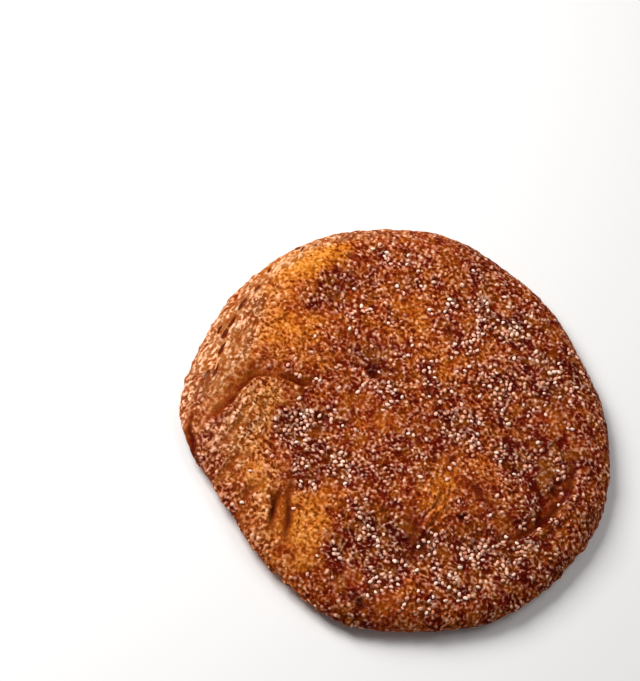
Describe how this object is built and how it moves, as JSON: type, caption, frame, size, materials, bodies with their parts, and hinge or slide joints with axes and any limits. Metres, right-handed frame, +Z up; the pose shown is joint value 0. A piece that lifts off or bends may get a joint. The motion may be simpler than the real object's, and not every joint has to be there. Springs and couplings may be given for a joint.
{
  "type": "adhirasam fried sweet",
  "caption": "Flat round fried sweet of rice flour and jaggery with a puffed, folded brown crust, sprinkled with white poppy seeds.",
  "frame": {"origin": "on the surface that the sweet lies on, under the middle of its bounding box", "axes": "+Z up through the sweet's thickness, +Y away from the edge nearest the viewer, +X to the right"},
  "size_m": [0.1004, 0.1018, 0.0079],
  "materials": {
    "fried_dough": "fried dough crust, golden to red-brown, slightly oily"
  },
  "bodies": {
    "root": {"adhirasam": "fried_dough"}
  },
  "joints": []
}
